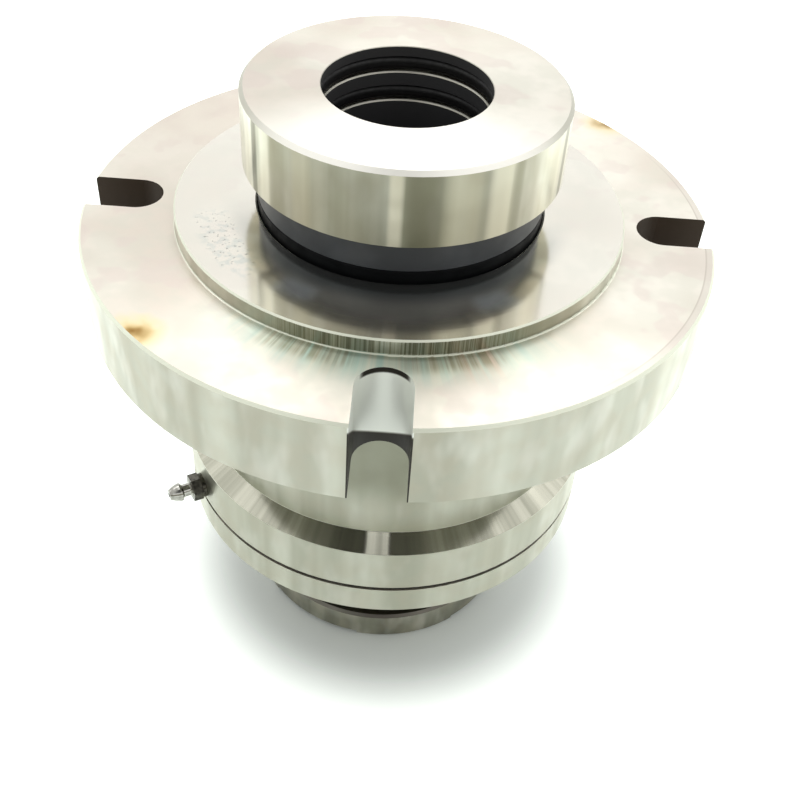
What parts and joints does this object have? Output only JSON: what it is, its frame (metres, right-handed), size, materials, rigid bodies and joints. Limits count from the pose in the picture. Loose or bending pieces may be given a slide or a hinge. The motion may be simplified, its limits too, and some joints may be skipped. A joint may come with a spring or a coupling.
{
  "type": "cartridge mechanical seal",
  "caption": "Cartridge shaft seal: sleeve with head collar and sprung face rings in a flanged gland with open stud slots, greased lip seals, grease nipple and lock collar.",
  "frame": {"origin": "on the shaft's axis, in the plane that the lock collar's teeth stand on", "axes": "+Z along the shaft from the lock collar to the wet end; -Y is the side with the open front stud slot, the grease nipple points to azimuth 210 degrees"},
  "size_m": [0.1954, 0.1954, 0.201],
  "materials": {
    "stainless": "satin turned",
    "sleeve_steel": "satin turned",
    "collar_steel": "satin turned",
    "silicon_carbide": "satin lapped",
    "seat_carbide": "polished",
    "oring_rubber": "satin",
    "joint_fibre": "matt",
    "lip_rubber": "satin",
    "spring_steel": "drawn",
    "bush_bronze": "turned",
    "screw_steel": "turned",
    "zinc_steel": "bright zinc"
  },
  "bodies": {
    "gland_body": {"gland": "stainless", "end_cover": "stainless", "cover_gasket": "joint_fibre", "cover_screws": "screw_steel", "lip_seal_upper": "lip_rubber", "lip_seal_lower": "lip_rubber", "garter_spring_upper": "spring_steel", "garter_spring_lower": "spring_steel", "lantern_ring": "bush_bronze", "throttle_bush": "bush_bronze", "seat_oring": "oring_rubber", "anti_rotation_pins": "screw_steel", "grease_nipple": "zinc_steel"},
    "rotor": {"shaft_sleeve": "sleeve_steel", "bore_oring_upper": "oring_rubber", "bore_oring_lower": "oring_rubber", "rotating_ring": "silicon_carbide", "rotating_ring_oring": "oring_rubber", "drive_pins": "screw_steel", "lock_collar": "collar_steel", "lock_collar_screws": "screw_steel"},
    "seat": {"stationary_ring": "seat_carbide", "spring_follower": "screw_steel", "seat_spring": "spring_steel"},
    "nipple_valve": {"nipple_ball": "screw_steel", "nipple_spring": "spring_steel"}
  },
  "joints": [
    {"name": "shaft_spin", "type": "hinge", "parent": "gland_body", "child": "rotor", "pos_m": [0, 0, 0.1], "axis": [0, 0, 1], "continuous": true},
    {"name": "seat_float", "type": "slide", "parent": "gland_body", "child": "seat", "axis": [0, 0, -1], "range_m": [0, 0.002], "stiffness_N_per_m": 4000, "springref_m": -0.01, "deforming": ["seat_spring"]},
    {"name": "nipple_check", "type": "slide", "parent": "gland_body", "child": "nipple_valve", "axis": [0.866, 0.5, 0], "range_m": [0, 0.0008], "stiffness_N_per_m": 300, "springref_m": -0.001}
  ]
}
